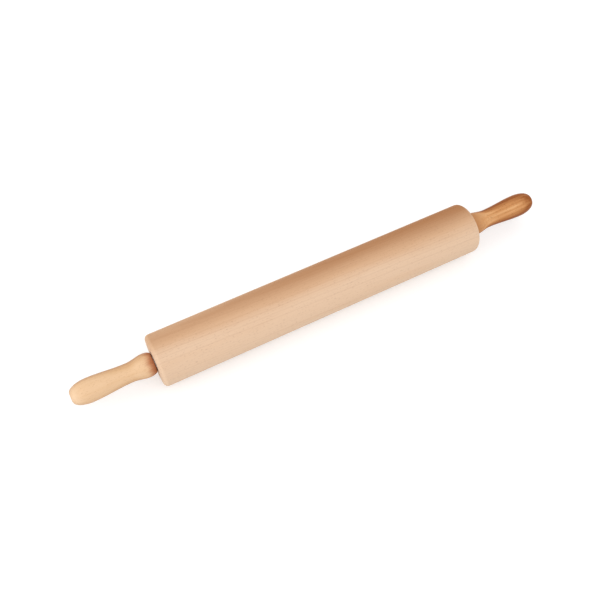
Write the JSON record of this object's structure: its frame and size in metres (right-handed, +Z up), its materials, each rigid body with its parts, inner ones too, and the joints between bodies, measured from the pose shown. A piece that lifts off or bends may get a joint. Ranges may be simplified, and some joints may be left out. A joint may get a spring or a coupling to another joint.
{
  "type": "rolling pin",
  "caption": "Beech rolling pin: a plain cylindrical barrel with rounded rims that spins in shielded ball bearings on a steel axle, held by turned, waisted handles.",
  "frame": {"origin": "on the table under the middle of the barrel, in the lowest facet of the barrel", "axes": "+X along the axle from the left handle to the right handle, +Z up, +Y away from the user"},
  "size_m": [0.5852, 0.0598, 0.0599],
  "materials": {
    "waxed_beech": "pale beech, waxed, matt",
    "pale_lacquered_beech": "pale beech, clear satin lacquer",
    "warm_lacquered_beech": "warmer beech, clear satin lacquer",
    "turned_steel": "turned, bright",
    "bearing_steel": "ground",
    "shield_steel": "pressed, satin",
    "ball_steel": "polished",
    "brass": "turned",
    "nylon": "natural"
  },
  "bodies": {
    "handles": {"axle": "turned_steel", "left_handle": "pale_lacquered_beech", "left_insert": "brass", "left_spacer": "turned_steel", "left_bearing_inner_ring": "bearing_steel", "right_handle": "warm_lacquered_beech", "right_insert": "brass", "right_spacer": "turned_steel", "right_bearing_inner_ring": "bearing_steel"},
    "barrel": {"barrel": "waxed_beech", "left_bearing_outer_ring": "bearing_steel", "left_bearing_inner_shield": "shield_steel", "left_bearing_outer_shield": "shield_steel", "right_bearing_outer_ring": "bearing_steel", "right_bearing_inner_shield": "shield_steel", "right_bearing_outer_shield": "shield_steel"},
    "left_cage": {"left_bearing_cage": "nylon", "left_bearing_ball_1": "ball_steel", "left_bearing_ball_2": "ball_steel", "left_bearing_ball_3": "ball_steel", "left_bearing_ball_4": "ball_steel", "left_bearing_ball_5": "ball_steel", "left_bearing_ball_6": "ball_steel", "left_bearing_ball_7": "ball_steel"},
    "right_cage": {"right_bearing_cage": "nylon", "right_bearing_ball_1": "ball_steel", "right_bearing_ball_2": "ball_steel", "right_bearing_ball_3": "ball_steel", "right_bearing_ball_4": "ball_steel", "right_bearing_ball_5": "ball_steel", "right_bearing_ball_6": "ball_steel", "right_bearing_ball_7": "ball_steel"}
  },
  "joints": [
    {"name": "barrel_spin", "type": "hinge", "parent": "handles", "child": "barrel", "pos_m": [0, 0, 0.02994], "axis": [1, 0, 0], "continuous": true},
    {"name": "left_cage_spin", "type": "hinge", "parent": "handles", "child": "left_cage", "pos_m": [-0.1959, 0, 0.02994], "axis": [1, 0, 0], "continuous": true},
    {"name": "right_cage_spin", "type": "hinge", "parent": "handles", "child": "right_cage", "pos_m": [0.1959, 0, 0.02994], "axis": [1, 0, 0], "continuous": true}
  ],
  "couplings": [
    {"joint": "left_cage_spin", "follows": "barrel_spin", "ratio": 0.63156},
    {"joint": "right_cage_spin", "follows": "barrel_spin", "ratio": 0.63156}
  ]
}
